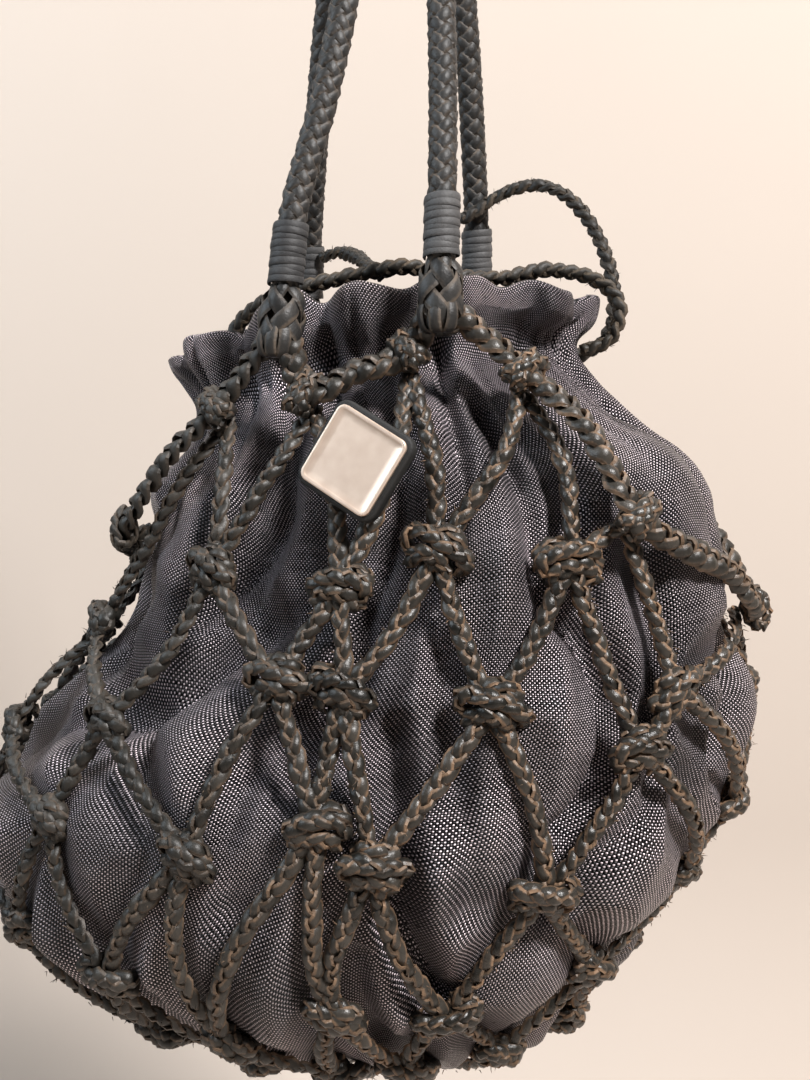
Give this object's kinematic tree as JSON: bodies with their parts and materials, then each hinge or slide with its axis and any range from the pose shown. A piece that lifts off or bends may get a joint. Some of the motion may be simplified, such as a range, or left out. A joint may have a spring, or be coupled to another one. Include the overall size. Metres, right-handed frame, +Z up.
{
  "type": "leather handbag",
  "caption": "Soft bucket handbag: a gathered drawstring cloth pouch inside a knotted net of braided leather, hung from braided loop handles, with a small square badge.",
  "frame": {"origin": "top of the two handles, where a hand or a hook holds the bag", "axes": "+Z up; the front faces -Y; +X to the right seen from the front"},
  "size_m": [0.3088, 0.2181, 0.5555],
  "materials": {
    "cloth": "shiny open weave of charcoal thread",
    "net_leather": "worn dark braided thongs with raw brown edges",
    "handle_leather": "worn dark round braid",
    "thong": "smooth dark thong, wound close",
    "drawstring": "hairy twisted cord",
    "backing": "thick black leather",
    "badge_metal": "bare bright plate"
  },
  "bodies": {
    "root": {"pouch": "cloth", "net": "net_leather", "yoke_front": "net_leather", "yoke_right": "net_leather", "yoke_back": "net_leather", "yoke_left": "net_leather", "handle_front": "handle_leather", "handle_back": "handle_leather", "collar_front_left": "handle_leather", "collar_front_right": "handle_leather", "collar_back_left": "handle_leather", "collar_back_right": "handle_leather", "whipping_front_left": "thong", "whipping_front_right": "thong", "whipping_back_left": "thong", "whipping_back_right": "thong", "drawstring_right": "drawstring", "drawstring_rim": "drawstring", "drawstring_left": "drawstring", "badge_backing": "backing", "badge_plate": "badge_metal"}
  },
  "joints": []
}
